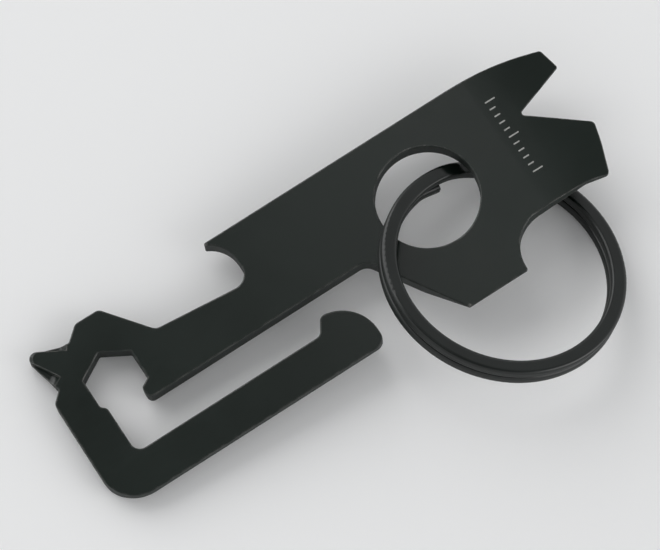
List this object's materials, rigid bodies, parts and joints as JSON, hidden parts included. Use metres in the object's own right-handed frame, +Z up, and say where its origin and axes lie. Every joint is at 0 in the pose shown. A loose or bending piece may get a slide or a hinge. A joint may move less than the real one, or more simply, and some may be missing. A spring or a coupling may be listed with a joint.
{
  "type": "keychain bottle opener",
  "caption": "Flat black steel keychain tool with cap opener, hex bit opening, cross driver, flat driver, V pry end and pocket clip, with a split ring in its hole.",
  "frame": {"origin": "centre of the assembly's bounding box in plan, on the table it lies on (z = 0)", "axes": "+X along the tool towards the pry end, +Y towards the bottle opener's side, +Z up from the table"},
  "size_m": [0.07, 0.036, 0.0109],
  "materials": {
    "coated_plate": "satin black coating on steel, with light laser marks",
    "ring_wire": "glossy black oxide on spring steel"
  },
  "bodies": {
    "opener": {"opener_plate": "coated_plate"},
    "ring": {"split_ring": "ring_wire"}
  },
  "joints": [
    {"name": "ring_swing", "type": "hinge", "parent": "opener", "child": "ring", "pos_m": [0.01387, 0.00828, 0.00524], "axis": [-0.2132, 0.9769, -0.0168], "range_deg": [0, 132]}
  ]
}
